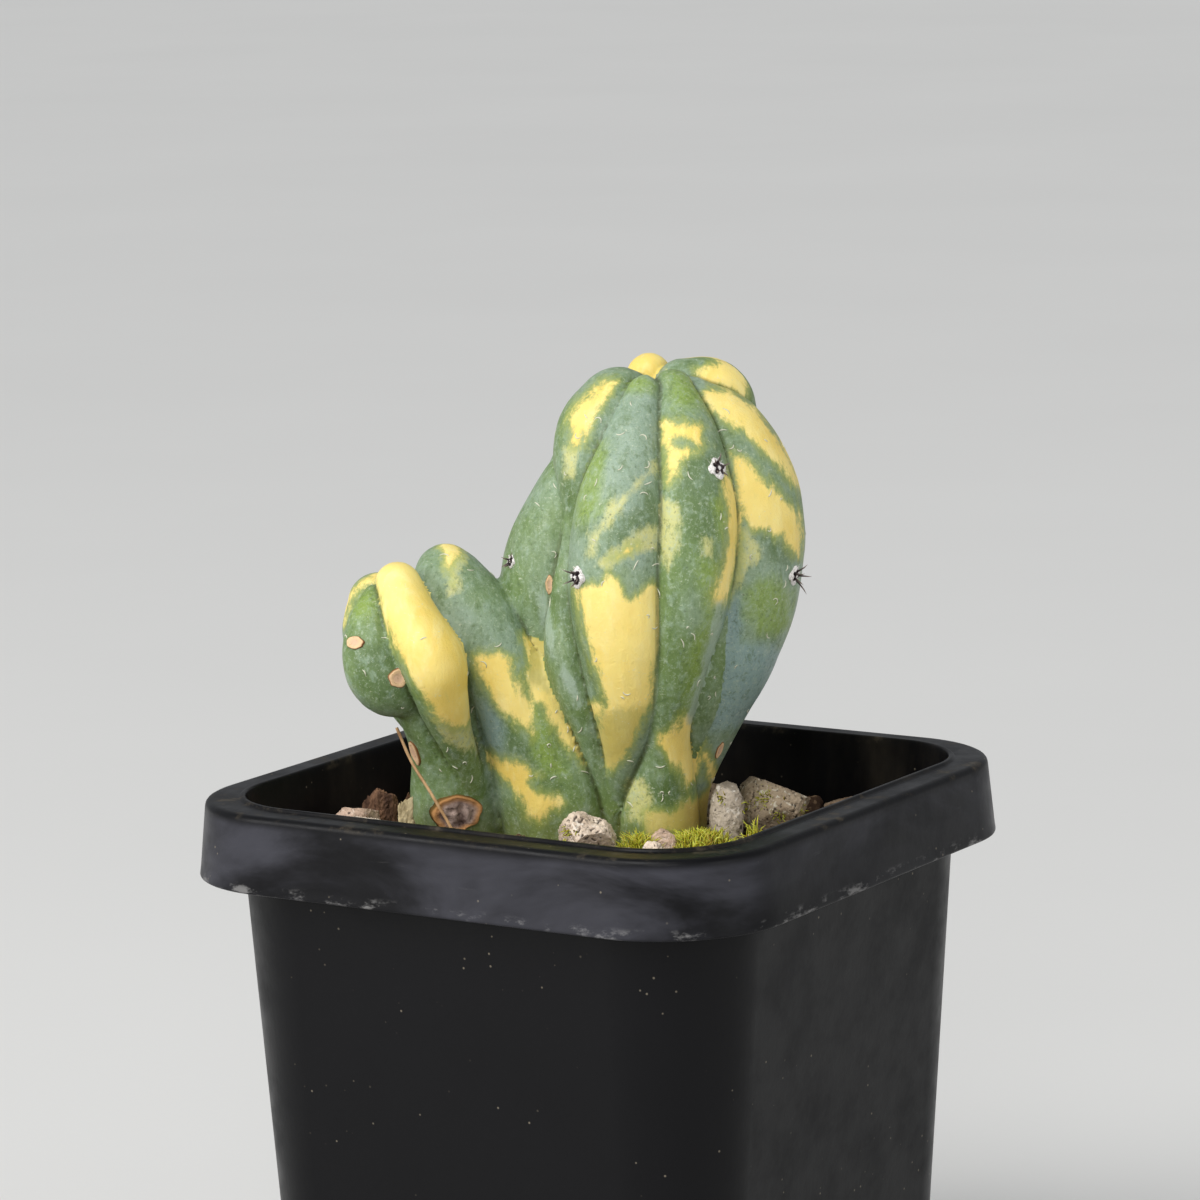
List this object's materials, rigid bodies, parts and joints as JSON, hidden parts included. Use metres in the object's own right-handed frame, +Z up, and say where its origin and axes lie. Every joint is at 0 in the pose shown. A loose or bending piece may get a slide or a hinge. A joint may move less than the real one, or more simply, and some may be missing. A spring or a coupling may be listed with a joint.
{
  "type": "potted candle cactus",
  "caption": "Ribbed blue candle cactus with yellow variegation and one side branch, in a square black plastic pot of soil dressed with pumice.",
  "frame": {"origin": "centre of the pot's underside, on the plane it stands on", "axes": "+Z up, +X and +Y square to two sides of the pot; the side branch points to -X and a little to -Y"},
  "size_m": [0.0718, 0.0718, 0.1178],
  "materials": {
    "black_plastic": "satin, scuffed",
    "soil": "matt, crumbly",
    "cactus_skin": "waxy, variegated green and yellow",
    "pumice": "matt, porous",
    "bark": "matt, rough",
    "flake": "matt",
    "straw": "matt, dry"
  },
  "bodies": {
    "root": {"bark_chip_01": "bark", "bark_chip_02": "bark", "cactus": "cactus_skin", "dry_stalk": "straw", "pot": "black_plastic", "pumice_01": "pumice", "pumice_02": "pumice", "pumice_03": "pumice", "pumice_04": "pumice", "pumice_05": "pumice", "pumice_06": "pumice", "pumice_07": "pumice", "pumice_08": "pumice", "pumice_09": "pumice", "pumice_10": "pumice", "pumice_11": "pumice", "pumice_12": "pumice", "pumice_13": "pumice", "pumice_14": "pumice", "pumice_15": "pumice", "pumice_16": "pumice", "pumice_17": "pumice", "pumice_18": "pumice", "pumice_19": "pumice", "pumice_20": "pumice", "pumice_21": "pumice", "pumice_22": "pumice", "pumice_23": "pumice", "pumice_24": "pumice", "pumice_25": "pumice", "pumice_26": "pumice", "pumice_27": "pumice", "pumice_28": "pumice", "pumice_29": "pumice", "pumice_30": "pumice", "pumice_31": "pumice", "pumice_32": "pumice", "pumice_33": "pumice", "pumice_34": "pumice", "pumice_35": "pumice", "pumice_36": "pumice", "pumice_37": "pumice", "pumice_38": "pumice", "pumice_39": "pumice", "pumice_40": "pumice", "pumice_41": "pumice", "pumice_42": "pumice", "pumice_43": "pumice", "slab_chip": "flake", "soil": "soil"}
  },
  "joints": []
}
